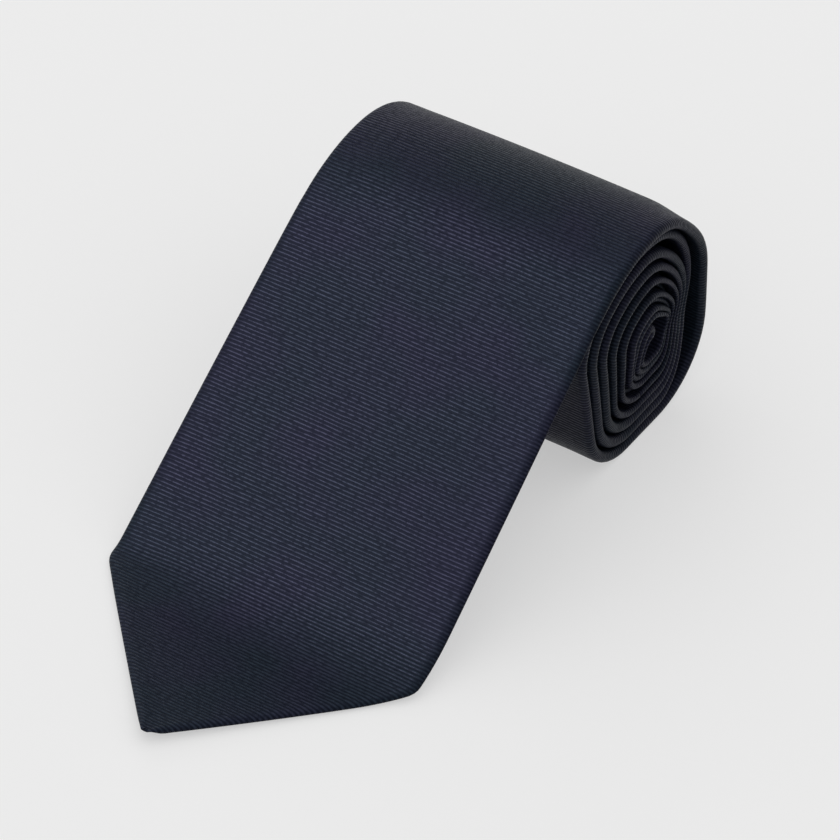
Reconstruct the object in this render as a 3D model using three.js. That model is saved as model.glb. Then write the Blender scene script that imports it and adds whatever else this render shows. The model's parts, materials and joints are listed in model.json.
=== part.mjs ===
// A men's necktie, folded double at the neck and rolled up from that fold.
// The wide blade comes off the top of the roll, slopes down to the surface and lies there with its point.
// Millimetres. X runs across the blade, Y from the point towards the roll, Z up.
// The origin is on the surface, under the middle of the outer box.
import * as THREE from "three";

// Lengths along the tie
const tieLength = 1450; // point to point, laid flat
const bladePanel = 770; // blade point to the first bias seam
const neckPanel = 310; // between the two bias seams
const interliningJoin = 860; // blade point to the middle of the lap between the two interlinings
const interliningLap = 8; // clear distance between their ends

// Widths
const bladeWidth = 80; // across the blade's shoulders
const neckWidth = 34;
const tailWidth = 40;
const pointWidth = 3; // the blunt end of a turned point
const bladePoint = 43; // shoulders to point
const tailPoint = 23;
const bladeTaperEnd = 880; // where the blade side has come down to the neck's width
const straightTaper = 0.6; // share of the taper that is straight, the rest eases in and out
const tailFlareStart = 1050;

// How the free blade lies
const tipFlat = 33; // stretch of the point that lies on the surface
const liftRadius = 40; // bend that takes it off the surface
const rampAngle = THREE.MathUtils.degToRad(35.5);

// Outline of the roll, seen along X, clockwise from the line where the blade leaves it
const crestRadius = 38;
const shoulderRadius = 26;
const backWall = 13.5;
const lowerBackRadius = 19.5;
const restFlat = 12; // flat that the roll rests on
const lowerFrontRadius = 17;
const frontLean = THREE.MathUtils.degToRad(15.5); // of the front wall, towards the point at its top
const upperFrontRadius = 14.5;
const quarterTurn = Math.PI / 2;

// Turns of the roll, whose number follows from the tie's length
const tailInside = 0.9; // turns that the tail's point stays inside the outermost one, at least
const coreBack = 29.5; // middle of the core, behind the line where the blade leaves the roll
const coreDrop = 27.5; // and below it
const coreLong = 4.5; // half lengths of the lens-shaped hole in the middle
const coreShort = 2;
const coreTilt = THREE.MathUtils.degToRad(32);
const endStep = 4; // how far the wound edges stand in from the blade's shoulder line

// Layers, as shares of the pitch from one turn to the next: the blade's and the tail's, each with a gap
const layerGap = 0.07;
const layerShare = 0.5 - layerGap; // thickness of one folded layer
const tailShare = layerShare + layerGap; // where the tail's layer starts
const foldShare = (layerShare + tailShare) / 2; // middle of the fold at the neck
const freeThickness = 1.4; // of the free blade

// Layers inside one folded thickness, from face (0) to back (1)
const clothDepth = 0.18;
const interliningDepth = [0.26, 0.58];
const tippingDepth = [0.64, 0.74];
const stitchDepth = [0.84, 0.97];
const tackDepth = [1.03, 1.13];
const labelDepth = [1.08, 1.2];
const keeperDepth = [1.28, 1.5];
const keeperTackDepth = [1.06, 1.22];

// Across the tie
const foldWall = 0.6; // cloth at each folded edge
const foldInset = 0.45; // rounding of the folded edges
const seamGap = 1.2; // between the two flaps, along the middle of the back
const pointGap = 0.3; // between them at the very point
const interliningMargin = 1.2; // interlining edge to folded edge
const threadWidth = 0.5;

// Hems and tipping at the two points
const bladeHem = 13; // hem width across, measured along X
const tailHem = 8;
const bladeTack = 95; // bar tack, from the point
const tailTack = 52;
const hemStitchWidth = 0.4;
const hemStitchGap = 0.5; // stitch to the hem's cut edge
const tippingMargin = 2; // tipping's edge inside the folded edge
const tippingRun = 8; // how far the tipping runs on under the flaps
const tackLength = 9; // across the seam
const tackStep = 1.4; // along the tie

// Keeper loop and label, on the back of the blade
const keeperPlace = 205; // middle of the loop, from the point
const keeperLength = 50; // across the tie
const keeperWidth = 11;
const keeperTackWidth = 2.5;
const labelPlace = 240;
const labelLength = 30; // across the tie
const labelWidth = 15;

const seamWidth = 0.5; // the row of stitches in each bias seam
const splitGap = 0.3; // between the free blade's solids and the roll's
const panelGap = 0.3; // between two panels where they are seamed
const ease = (t) => t * t * (3 - 2 * t);
const mix = (a, b, t) => a + (b - a) * t;
const mixPoint = (a, b, t) => [mix(a[0], b[0], t), mix(a[1], b[1], t)];

// A point and heading that moves along straights and bends, in the (Y, Z) plane.
function pen(y, z, heading) {
  const points = [[y, z]];
  const mark = () => points.push([y, z]);
  return {
    points,
    straight(length, steps = 1) {
      for (let i = 0; i < steps; i++) {
        y += (length / steps) * Math.cos(heading);
        z += (length / steps) * Math.sin(heading);
        mark();
      }
    },
    bend(radius, angle, steps) {
      const chord = 2 * radius * Math.sin(Math.abs(angle) / steps / 2);
      for (let i = 0; i < steps; i++) {
        heading += angle / steps / 2;
        y += chord * Math.cos(heading);
        z += chord * Math.sin(heading);
        heading += angle / steps / 2;
        mark();
      }
    },
  };
}

// Outline of the roll, from the departure line round to just before it. The departure line is (0, 0).
function rollOutline() {
  const line = pen(0, 0, rampAngle);
  line.bend(crestRadius, -rampAngle, 3);
  line.bend(shoulderRadius, -quarterTurn, 4);
  line.straight(backWall);
  line.bend(lowerBackRadius, -quarterTurn, 4);
  line.straight(restFlat);
  const rest = line.points.length - 1;
  line.bend(lowerFrontRadius, frontLean - quarterTurn, 3);
  const upperStart = [
    -upperFrontRadius * (Math.cos(frontLean) - Math.sin(rampAngle)),
    -upperFrontRadius * (Math.cos(rampAngle) + Math.sin(frontLean)),
  ];
  line.points.push(mixPoint(line.points.at(-1), upperStart, 0.5));
  const upper = pen(...upperStart, quarterTurn + frontLean);
  upper.bend(upperFrontRadius, rampAngle - frontLean - quarterTurn, 3);
  const points = line.points.concat(upper.points.slice(0, -1));
  return { points, rest };
}

const outline = rollOutline();
const stepsPerTurn = outline.points.length;
const rollBottom = Math.min(...outline.points.map((p) => p[1]));
const leaveHeight = -rollBottom; // height of the departure line

// Where a ray from the core towards an outline point meets the lens-shaped hole.
function coreEdge([y, z]) {
  const angle = Math.atan2(z + coreDrop, y - coreBack);
  const turned = angle - coreTilt;
  const reach = 1 / Math.hypot(Math.cos(turned) / coreLong, Math.sin(turned) / coreShort);
  return [coreBack + reach * Math.cos(angle), -coreDrop + reach * Math.sin(angle)];
}
const coreEdges = outline.points.map(coreEdge);

// Turn count at a station: whole turns, with the step inwards made on the front of the roll.
function turnAt(station) {
  const k = station % stepsPerTurn;
  const step = k <= outline.rest ? 0 : ease((k - outline.rest) / (stepsPerTurn - outline.rest));
  return Math.floor(station / stepsPerTurn) + step;
}

// A point of a roll of so many turns, `share` of a pitch inside the turn's own line.
function rollPoint(turns, station, share) {
  const k = station % stepsPerTurn;
  return mixPoint(outline.points[k], coreEdges[k], (turnAt(station) + share) / (turns + 1));
}

// Half width of the tie at a distance from the blade's point.
function halfWidth(s) {
  if (s < bladePoint) return mix(pointWidth, bladeWidth, s / bladePoint) / 2;
  const fromTail = tieLength - s;
  if (fromTail < tailPoint) return mix(pointWidth, tailWidth, fromTail / tailPoint) / 2;
  if (s < bladeTaperEnd) {
    const t = (s - bladePoint) / (bladeTaperEnd - bladePoint);
    const eased = (1 - Math.cos(Math.PI * t)) / 2;
    return mix(bladeWidth, neckWidth, mix(eased, t, straightTaper)) / 2;
  }
  const t = (s - tailFlareStart) / (tieLength - tailPoint - tailFlareStart);
  return mix(neckWidth, tailWidth, THREE.MathUtils.clamp(t, 0, 1)) / 2;
}

// The tie's whole course in a roll of so many turns: stations with the face and back lines, the distance
// from the blade's point and the middle in X.
function course(turns) {
  const free = pen(0, freeThickness, 0);
  free.straight(tipFlat);
  free.bend(liftRadius, rampAngle, 6);
  const [liftY, liftZ] = free.points.at(-1);
  const rampRise = leaveHeight - liftZ;
  free.straight(rampRise / Math.sin(rampAngle));
  const [leaveY] = free.points.at(-1);
  const stations = free.points.map(([y, z], i, all) => {
    const before = all[Math.max(i - 1, 0)];
    const after = all[Math.min(i + 1, all.length - 1)];
    const heading = Math.atan2(after[1] - before[1], after[0] - before[0]);
    const back = [y + freeThickness * Math.sin(heading), z - freeThickness * Math.cos(heading)];
    return { face: [y, z], back };
  });
  const place = ([y, z]) => [y + leaveY, z + leaveHeight];
  const lastStation = turns * stepsPerTurn;
  for (let j = 0; j <= lastStation; j++)
    stations.push({ roll: j, face: place(rollPoint(turns, j, 0)), back: place(rollPoint(turns, j, layerShare)) });
  // The fold at the neck turns the back inwards, and the tail runs out again inside the blade's turns.
  const centre = place(rollPoint(turns, lastStation, foldShare));
  const [faceY, faceZ] = place(rollPoint(turns, lastStation, 0));
  const [outY, outZ] = [faceY - centre[0], faceZ - centre[1]];
  const foldSteps = 5;
  const backShare = (foldShare - layerShare) / foldShare;
  for (let i = 1; i < foldSteps; i++) {
    const a = (Math.PI * i) / foldSteps;
    const arm = [outY * Math.cos(a) + outZ * Math.sin(a), outZ * Math.cos(a) - outY * Math.sin(a)];
    stations.push({
      roll: lastStation,
      face: [centre[0] + arm[0], centre[1] + arm[1]],
      back: [centre[0] + arm[0] * backShare, centre[1] + arm[1] * backShare],
    });
  }
  for (let j = lastStation; j >= Math.ceil(tailInside * stepsPerTurn); j--)
    stations.push({
      roll: j,
      tail: true,
      face: place(rollPoint(turns, j, tailShare + layerShare)),
      back: place(rollPoint(turns, j, tailShare)),
    });
  // Distances, and the middle of each layer: the wound edges line up at the right-hand end.
  const middles = [];
  let s = 0;
  stations.forEach((station, i) => {
    if (i) s += Math.hypot(...station.face.map((v, axis) => v - stations[i - 1].face[axis]));
    station.s = s;
    if (station.roll === undefined) station.middle = 0;
    else if (station.tail) station.middle = middles[station.roll];
    else {
      station.middle = Math.max(bladeWidth / 2 - endStep - halfWidth(s), 0);
      middles[station.roll] = station.middle;
    }
  });
  return stations;
}

// As few turns as take up the whole tie.
let turns = 1;
while (course(turns).at(-1).s < tieLength) turns++;
const stations = course(turns);
const rollStart = stations.find((station) => station.roll === 0).s;
const depths = stations.map((station) => station.face[0]);
const middleY = (Math.min(...depths) + Math.max(...depths)) / 2;

// A station anywhere on the course, between the two next to it.
function stationAt(s) {
  const i = Math.max(stations.findIndex((station) => station.s >= s - 1e-9), 1);
  const [a, b] = [stations[i - 1], stations[i]];
  const t = (s - a.s) / (b.s - a.s);
  return {
    s,
    face: mixPoint(a.face, b.face, t),
    back: mixPoint(a.back, b.back, t),
    middle: mix(a.middle, b.middle, t),
  };
}

// The stations of one stretch, with extra ones where a section changes direction.
function stretch(from, to, extra = []) {
  const marks = extra.filter((s) => s > from && s < to);
  const own = stations.filter((station) => station.s > from && station.s < to);
  const clear = own.filter((station) => marks.every((s) => Math.abs(s - station.s) > 0.2));
  return [stationAt(from), ...clear, ...marks.map(stationAt), stationAt(to)].sort((a, b) => a.s - b.s);
}

// A solid swept along stations. section(s) gives two lines of [x, depth] with as many points each.
function sweep(list, section) {
  const rings = list.map((station) => {
    const { outer, inner } = section(station.s);
    return [...outer, ...inner.slice().reverse()].map(([x, depth]) => {
      const [y, z] = mixPoint(station.face, station.back, depth);
      return [station.middle + x, y - middleY, z];
    });
  });
  const size = rings[0].length;
  const index = [];
  const quad = (a, b, c, d) => index.push(a, b, c, a, c, d);
  for (let i = 0; i + 1 < rings.length; i++)
    for (let j = 0; j < size; j++) {
      const next = (j + 1) % size;
      quad(i * size + j, i * size + next, (i + 1) * size + next, (i + 1) * size + j);
    }
  const last = (rings.length - 1) * size;
  for (let j = 0; j + 1 < size / 2; j++) {
    quad(j, size - 1 - j, size - 2 - j, j + 1);
    quad(last + j, last + j + 1, last + size - 2 - j, last + size - 1 - j);
  }
  const geometry = new THREE.BufferGeometry();
  geometry.setAttribute("position", new THREE.Float32BufferAttribute(rings.flat(2), 3));
  geometry.setIndex(index);
  geometry.computeVertexNormals();
  return geometry;
}

const block = (low, high, [near, far]) => ({
  outer: [[low, near], [high, near]],
  inner: [[low, far], [high, far]],
});

// Inner edge of the two flaps: they meet in the middle, and open over the tipping at each point.
function flapEdge(s) {
  const opening = (fromPoint, point, hem, tack) => {
    const side = halfWidth(s) - hem;
    if (fromPoint < point) return side;
    return (halfWidth(fromPoint === s ? point : tieLength - point) - hem) * ((tack - fromPoint) / (tack - point));
  };
  const blade = s < bladeTack ? opening(s, bladePoint, bladeHem, bladeTack) : 0;
  const fromTail = tieLength - s;
  const tail = fromTail < tailTack ? opening(fromTail, tailPoint, tailHem, tailTack) : 0;
  return Math.max(blade, tail, seamGap / 2);
}

// Cloth folded round the interlining: face, two round edges and two flaps on the back.
function clothSection(s) {
  const side = halfWidth(s);
  const flap = Math.min(flapEdge(s), Math.max(side - 3 * foldWall, pointGap / 2));
  const inset = Math.min(foldInset, side / 4);
  const wall = Math.min(foldWall, side / 2);
  const outer = [[flap, 1], [side - inset, 1], [side, 0.5], [side - inset, 0]];
  const inner = [
    [flap, 1 - clothDepth],
    [side - wall, 1 - clothDepth],
    [side - wall, 0.5],
    [side - wall, clothDepth],
  ];
  const mirrored = (line) => line.map(([x, depth]) => [-x, depth]).reverse();
  return { outer: [...outer, ...mirrored(outer)], inner: [...inner, ...mirrored(inner)] };
}

const interliningSection = (s) => {
  const side = halfWidth(s) - foldWall - interliningMargin;
  return block(-side, side, interliningDepth);
};
const threadSection = () => block(-threadWidth / 2, threadWidth / 2, stitchDepth);

// Lining sewn into a point, under the hems.
const tippingSection = (s) => {
  const side = halfWidth(s) - foldWall - tippingMargin;
  return block(-side, side, tippingDepth);
};

// The row of stitches that holds the hems of a point: up one side and down the other, joined at the point.
function hemStitch(fromPoint, startAt, endAt, marks) {
  const steps = stretch(Math.min(startAt, endAt), Math.max(startAt, endAt), marks);
  if (fromPoint < 0) steps.reverse();
  const lineAt = (station) => flapEdge(station.s) - hemStitchGap - hemStitchWidth;
  const run = steps.filter((station) => lineAt(station) > hemStitchWidth);
  const legs = [...run.slice().reverse().map((station) => [station, 1]), ...run.map((station) => [station, -1])];
  return legs.map(([station, side]) => ({ station, side, x: lineAt(station) }));
}

// A thin row of stitches through given places, as one closed strip on the hems' inner side.
function hemStitchSolid(legs, [near, far]) {
  const rings = legs.map(({ station, side, x }) =>
    [[x, near], [x + hemStitchWidth, near], [x + hemStitchWidth, far], [x, far]].map(([across, depth]) => {
      const [y, z] = mixPoint(station.face, station.back, depth);
      return [station.middle + side * across, y - middleY, z];
    }),
  );
  const index = [];
  const quad = (a, b, c, d) => index.push(a, b, c, a, c, d);
  for (let i = 0; i + 1 < rings.length; i++)
    for (let j = 0; j < 4; j++) {
      const next = (j + 1) % 4;
      quad(i * 4 + j, i * 4 + next, (i + 1) * 4 + next, (i + 1) * 4 + j);
    }
  const last = (rings.length - 1) * 4;
  quad(3, 2, 1, 0);
  quad(last, last + 1, last + 2, last + 3);
  const geometry = new THREE.BufferGeometry();
  geometry.setAttribute("position", new THREE.Float32BufferAttribute(rings.flat(2), 3));
  geometry.setIndex(index);
  return geometry;
}

const finish = (color, roughness) => () => new THREE.MeshStandardMaterial({ color, roughness, metalness: 0 });
const navyTwill = finish(0x1b2036, 0.7);
const woolInterlining = finish(0xd8d2c4, 0.95);
const navyLining = finish(0x202743, 0.45);
const navyThread = finish(0x262d4a, 0.6);
const labelCloth = finish(0xc9c9cc, 0.8);

const necktie = new THREE.Group();

function add(name, geometry, material) {
  const position = geometry.getAttribute("position");
  const index = geometry.getIndex();
  const [a, b, c] = [0, 1, 2].map(() => new THREE.Vector3());
  let volume = 0;
  for (let i = 0; i < index.count; i += 3) {
    [a, b, c].forEach((corner, n) => corner.fromBufferAttribute(position, index.getX(i + n)));
    volume += a.dot(b.clone().cross(c));
  }
  if (volume < 0)
    for (let i = 0; i < index.count; i += 3) {
      const first = index.getX(i);
      index.setX(i, index.getX(i + 1));
      index.setX(i + 1, first);
    }
  geometry.computeVertexNormals();
  const mesh = new THREE.Mesh(geometry, material());
  mesh.name = name;
  necktie.add(mesh);
}

const bladeMarks = [bladePoint, bladeTack, (bladePoint * (bladeHem + 1)) / (bladeWidth / 2)];
const tailMarks = [tailPoint, tailTack, (tailPoint * (tailHem + 1)) / (tailWidth / 2)].map((s) => tieLength - s);
const freeEnd = rollStart - splitGap;
const neckEnd = bladePanel + neckPanel;

// Cloth shell
add("blade_shell_front", sweep(stretch(0, freeEnd, bladeMarks), clothSection), navyTwill);
add("blade_shell_wound", sweep(stretch(rollStart, bladePanel - panelGap / 2), clothSection), navyTwill);
add("neck_shell", sweep(stretch(bladePanel + panelGap / 2, neckEnd - panelGap / 2), clothSection), navyTwill);
add("tail_shell", sweep(stretch(neckEnd + panelGap / 2, tieLength, tailMarks), clothSection), navyTwill);

// Interlining, in two pieces lapped at the neck
const interliningInset = 6; // from the point's end to the interlining's own blunt point
const lapStart = interliningJoin - interliningLap / 2;
const lapEnd = interliningJoin + interliningLap / 2;
const tailEnd = tieLength - interliningInset;
add("blade_interlining_front", sweep(stretch(interliningInset, freeEnd, bladeMarks), interliningSection),
  woolInterlining);
add("blade_interlining_wound", sweep(stretch(rollStart, lapStart), interliningSection), woolInterlining);
add("tail_interlining", sweep(stretch(lapEnd, tailEnd, tailMarks), interliningSection), woolInterlining);

// Tipping in both points
const tippingStart = 8;
add("blade_tipping", sweep(stretch(tippingStart, bladeTack + tippingRun, bladeMarks), tippingSection), navyLining);
add("tail_tipping",
  sweep(stretch(tieLength - tailTack - tippingRun, tieLength - tippingStart, tailMarks), tippingSection), navyLining);

// Hem stitches
const hemMargin = 3; // clear of the bar tack
add("blade_hem_stitch",
  hemStitchSolid(hemStitch(1, 0, bladeTack - hemMargin, bladeMarks), stitchDepth), navyThread);
add("tail_hem_stitch",
  hemStitchSolid(hemStitch(-1, tieLength - tailTack + hemMargin, tieLength, tailMarks), stitchDepth), navyThread);

// Slip stitch up the back seam, and the bar tacks that end it
const tackSection = () => block(-tackLength / 2, tackLength / 2, tackDepth);
const tack = (s) => sweep(stretch(s - tackStep / 2, s + tackStep / 2), tackSection);
const threadMargin = 1;
add("slip_stitch_front", sweep(stretch(bladeTack + threadMargin, freeEnd), threadSection), navyThread);
add("slip_stitch_wound",
  sweep(stretch(rollStart, tieLength - tailTack - threadMargin), threadSection), navyThread);
add("blade_bar_tack", tack(bladeTack), navyThread);
add("tail_bar_tack", tack(tieLength - tailTack), navyThread);

// Keeper loop, its two tacks, and a blank label
const across = (place, length, width, depth) =>
  sweep(stretch(place - width / 2, place + width / 2), () => block(-length / 2, length / 2, depth));
const keeperEdge = keeperLength / 2 - keeperTackWidth;
add("keeper_loop", across(keeperPlace, keeperLength, keeperWidth, keeperDepth), navyTwill);
for (const [side, low] of [["left", -keeperLength / 2], ["right", keeperEdge]])
  add("keeper_tack_" + side,
    sweep(stretch(keeperPlace - keeperWidth / 2, keeperPlace + keeperWidth / 2),
      () => block(low, low + keeperTackWidth, keeperTackDepth)), navyThread);
add("blank_label", across(labelPlace, labelLength, labelWidth, labelDepth), labelCloth);

// Rows of stitches in the two bias seams, and in the lap of the interlinings, all inside the cloth
const seamRow = (s, depth) =>
  sweep(stretch(s - seamWidth / 2, s + seamWidth / 2), () => {
    const side = halfWidth(s) - foldWall - interliningMargin;
    return block(-side, side, depth);
  });
const seamDepth = [0.65, 0.75];
add("blade_neck_seam", seamRow(bladePanel, seamDepth), navyThread);
add("neck_tail_seam", seamRow(neckEnd, seamDepth), navyThread);
add("interlining_lap", across(interliningJoin, neckWidth - 2 * (foldWall + interliningMargin),
  interliningLap - 2 * splitGap, interliningDepth), woolInterlining);

export default necktie;
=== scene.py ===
import json
import math

import bpy
import numpy as np
from mathutils import Matrix, Vector


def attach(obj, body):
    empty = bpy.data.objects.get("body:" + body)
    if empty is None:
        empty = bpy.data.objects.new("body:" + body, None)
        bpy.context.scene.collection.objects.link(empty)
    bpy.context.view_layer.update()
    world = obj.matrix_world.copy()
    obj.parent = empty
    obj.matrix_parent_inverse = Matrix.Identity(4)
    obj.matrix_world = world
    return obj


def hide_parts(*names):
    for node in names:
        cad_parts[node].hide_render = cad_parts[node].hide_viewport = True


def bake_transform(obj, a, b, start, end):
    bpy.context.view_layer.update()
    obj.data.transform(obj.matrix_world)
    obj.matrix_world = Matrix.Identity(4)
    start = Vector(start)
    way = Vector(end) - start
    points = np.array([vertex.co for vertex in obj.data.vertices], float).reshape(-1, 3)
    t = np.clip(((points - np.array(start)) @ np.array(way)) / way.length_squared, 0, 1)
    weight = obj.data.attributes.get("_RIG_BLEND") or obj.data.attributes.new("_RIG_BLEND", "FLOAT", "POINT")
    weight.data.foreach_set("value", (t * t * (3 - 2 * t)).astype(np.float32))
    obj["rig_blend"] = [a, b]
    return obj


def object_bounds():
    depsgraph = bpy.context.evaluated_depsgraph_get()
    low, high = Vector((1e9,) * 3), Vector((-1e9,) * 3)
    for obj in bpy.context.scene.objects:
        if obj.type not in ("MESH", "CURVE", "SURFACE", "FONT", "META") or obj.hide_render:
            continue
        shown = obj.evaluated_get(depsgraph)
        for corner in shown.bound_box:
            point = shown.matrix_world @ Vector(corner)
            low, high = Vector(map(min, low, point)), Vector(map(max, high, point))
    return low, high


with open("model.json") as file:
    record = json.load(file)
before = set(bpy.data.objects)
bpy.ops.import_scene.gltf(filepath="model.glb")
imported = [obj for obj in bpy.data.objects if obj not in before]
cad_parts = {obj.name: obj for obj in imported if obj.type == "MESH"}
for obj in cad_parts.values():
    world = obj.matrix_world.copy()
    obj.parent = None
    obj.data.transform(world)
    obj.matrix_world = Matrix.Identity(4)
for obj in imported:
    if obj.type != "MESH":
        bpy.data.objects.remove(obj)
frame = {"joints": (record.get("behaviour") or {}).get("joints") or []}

cadLow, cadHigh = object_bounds()
bpy.ops.object.select_all(action="DESELECT")
mm = 0.001  # all sizes below are in millimetres, and meshes are written in metres

print("camera, floor and lights")
studio = dict(
    azimuth=33.14, elevation=41.35, distance=1184.0, lens=235.7,
    aim=(0.0, -2.9, 28.0), slideRight=14.29, slideUp=3.38,
    floorColour=(0.53, 0.53, 0.53), floorGlow=0.47, worldColour=(1.0, 1.0, 1.0), worldStrength=0.66,
)


def aimCamera():
    a, e = math.radians(studio["azimuth"]), math.radians(studio["elevation"])
    right = Vector((math.cos(a), math.sin(a), 0))
    up = Vector((-math.sin(a) * math.sin(e), math.cos(a) * math.sin(e), math.cos(e)))
    back = Vector((math.sin(a) * math.cos(e), -math.cos(a) * math.cos(e), math.sin(e)))
    target = Vector(studio["aim"]) + right * studio["slideRight"] + up * studio["slideUp"]
    bpy.ops.object.camera_add(location=(target + back * studio["distance"]) * mm)
    camera = bpy.context.object
    camera.name = "studioCamera"
    camera.rotation_euler = Matrix((right, up, back)).transposed().to_euler()
    camera.data.lens = studio["lens"]
    camera.data.sensor_width = 36
    camera.data.clip_start, camera.data.clip_end = 0.05, 20
    bpy.context.scene.camera = camera


def softLight(name, place, size, power):
    bpy.ops.object.light_add(type="AREA", location=place)
    lamp = bpy.context.object
    lamp.name = name
    lamp.data.shape = "RECTANGLE"
    lamp.data.size, lamp.data.size_y = size
    lamp.data.energy = power
    lamp.rotation_euler = (-Vector(place)).to_track_quat("-Z", "Y").to_euler()
    return lamp


aimCamera()
keyLight = softLight("frontLeftSoftbox", (-0.94, -0.96, 1.86), (0.8, 0.8), 58)
softLight("lowBackSoftbox", (-1.35, 1.65, 0.75), (1.2, 0.8), 4.2)

world = bpy.data.worlds.new("studioWorld")
bpy.context.scene.world = world
world.use_nodes = True
world.node_tree.nodes["Background"].inputs["Color"].default_value = (*studio["worldColour"], 1)
world.node_tree.nodes["Background"].inputs["Strength"].default_value = studio["worldStrength"]
bpy.context.scene.view_settings.view_transform = "Standard"

print("course of the tie")
tie = dict(
    length=1450.0, neckSeam=770.0, tailSeam=1080.0, interliningJoin=860.0, panelGap=0.1, neckCutWidth=74.0,
    bladeWidth=80.0, neckWidth=34.0, tailWidth=40.0, pointWidth=1.7,
    bladePoint=42.6, tailPoint=23.0, taperEnd=880.0, straightTaper=0.45, flareStart=1050.0,
    shoulderRounding=1.6, foldFullness=0.1, clothThickness=0.32, freeThickness=1.4, floorSoftness=0.3,
)
lie = dict(  # how the blade lies and the roll is wound
    tipFlat=33.1, liftRadius=38.9, edgeLiftRadius=9.0, rampAngle=35.3, freeFold=2.3,
    tipCurl=1.6, tipAside=-1.0, tipBack=1.4,
    crestRadius=37.7, shoulderRadius=26.6, backWall=13.7, lowerBackRadius=19.0,
    restFlat=12.0, lowerFrontRadius=17.3, frontLean=15.8, upperFrontRadius=15.1,
    turns=7, stepsPerTurn=88, coreBack=28.8, coreDrop=27.5,
    coreLong=2.9, coreShort=0.9, coreTilt=32.0, endStep=4.0,
    layerShare=0.43, tailShare=0.5,
    tailInside=0.9,  # known fault: the course ends 28 mm short of the tie, 0.70 would reach its length
    edgeThickness=2.8, freeEdgeThickness=1.9, puffWidth=9.0, crown=0.7,
)
# Where the outer turn's edges sink in or stand off: side, place past the roll's start, spread and depth.
edgeSags = [
    dict(side=1, past=45.0, spread=11.0, depth=1.5),
    dict(side=1, past=84.0, spread=19.0, depth=-1.2),
    dict(side=-1, past=18.0, spread=20.0, depth=0.6),
]


def ease(t):
    t = np.clip(t, 0, 1)
    return t * t * (3 - 2 * t)


def mix(a, b, t):
    return a + (b - a) * t


# A path of bends (radius, degrees) and straights (0, length).
def walk(start, heading, moves, step=0.25):
    y, z = start
    points = [(y, z)]
    for radius, amount in moves:
        length = abs(math.radians(amount)) * radius if radius else amount
        count = max(2, round(length / step))
        turn = math.radians(amount) / count if radius else 0.0
        chord = 2 * radius * math.sin(abs(turn) / 2) if radius else length / count
        for _ in range(count):
            y += chord * math.cos(heading + turn / 2)
            z += chord * math.sin(heading + turn / 2)
            heading += turn
            points.append((y, z))
    return points


def lengthAlong(points):
    return np.concatenate([[0], np.cumsum(np.linalg.norm(np.diff(points, axis=0), axis=1))])


def resample(points, places):
    along = lengthAlong(points)
    return np.stack([np.interp(places, along, points[:, i]) for i in range(points.shape[1])], axis=1)


def rollOutline():
    ramp, lean = lie["rampAngle"], lie["frontLean"]
    a, b, r = math.radians(ramp), math.radians(lean), lie["upperFrontRadius"]
    first = walk((0, 0), a, [(lie["crestRadius"], -ramp), (lie["shoulderRadius"], -90), (0, lie["backWall"]),
                             (lie["lowerBackRadius"], -90), (0, lie["restFlat"])])
    rest = lengthAlong(np.array(first))[-1]
    lower = walk(first[-1], math.pi, [(lie["lowerFrontRadius"], lean - 90)])
    upperStart = (-r * (math.cos(b) - math.sin(a)), -r * (math.cos(a) + math.sin(b)))
    upper = walk(upperStart, math.pi / 2 + b, [(r, ramp - lean - 90)])
    loop = np.array(first + lower[1:] + upper[:-1] + [(0.0, 0.0)])
    total = lengthAlong(loop)[-1]
    count = lie["stepsPerTurn"]
    points = resample(loop, np.arange(count) * total / count)
    return points, rest / total


outline, restPlace = rollOutline()
stepsPerTurn = lie["stepsPerTurn"]
leaveHeight = -outline[:, 1].min()


def coreEdges():
    y, z = outline[:, 0] - lie["coreBack"], outline[:, 1] + lie["coreDrop"]
    angle = np.arctan2(z, y)
    turned = angle - math.radians(lie["coreTilt"])
    reach = 1 / np.hypot(np.cos(turned) / lie["coreLong"], np.sin(turned) / lie["coreShort"])
    coreY, coreZ = lie["coreBack"] + reach * np.cos(angle), -lie["coreDrop"] + reach * np.sin(angle)
    return np.stack([coreY, coreZ], axis=1)


core = coreEdges()
# Gaps between turns down the back: after which turn and from what share of it, where along the turn, size.
wedges = [
    dict(after=0, share=0.45, begin=0.16, end=0.57, widest=0.45, size=5.6),
    dict(after=1, share=0.94, begin=0.12, end=0.36, widest=0.22, size=1.6),
]


def wedgeSize(wedge, q):
    rise = ease((q - wedge["begin"]) / (wedge["widest"] - wedge["begin"]))
    fall = 1 - ease((q - wedge["widest"]) / (wedge["end"] - wedge["widest"]))
    return wedge["size"] * rise * fall


# A point of the wound tie: station counts steps along the spiral, share is the depth in pitches.
def rollPoint(station, share):
    index = int(station % stepsPerTurn)
    q = index / stepsPerTurn
    turn = station // stepsPerTurn + float(ease((q - restPlace) / (1 - restPlace)))
    rho = (turn + share) / (lie["turns"] + 1)
    depth = np.linalg.norm(core[index] - outline[index])
    moved = rho
    for wedge in wedges:
        low = (wedge["after"] + wedge["share"]) / (lie["turns"] + 1)
        high = (wedge["after"] + 1) / (lie["turns"] + 1)
        opened = float(np.clip((rho - low) / (high - low), 0, 1))
        moved += float(wedgeSize(wedge, q)) / depth * opened * (1 - rho) / (1 - high)
    return mix(outline[index], core[index], moved)


def softMin(a, b, radius):
    h = np.clip(0.5 + 0.5 * (b - a) / radius, 0, 1)
    return mix(b, a, h) - radius * h * (1 - h)


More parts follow.
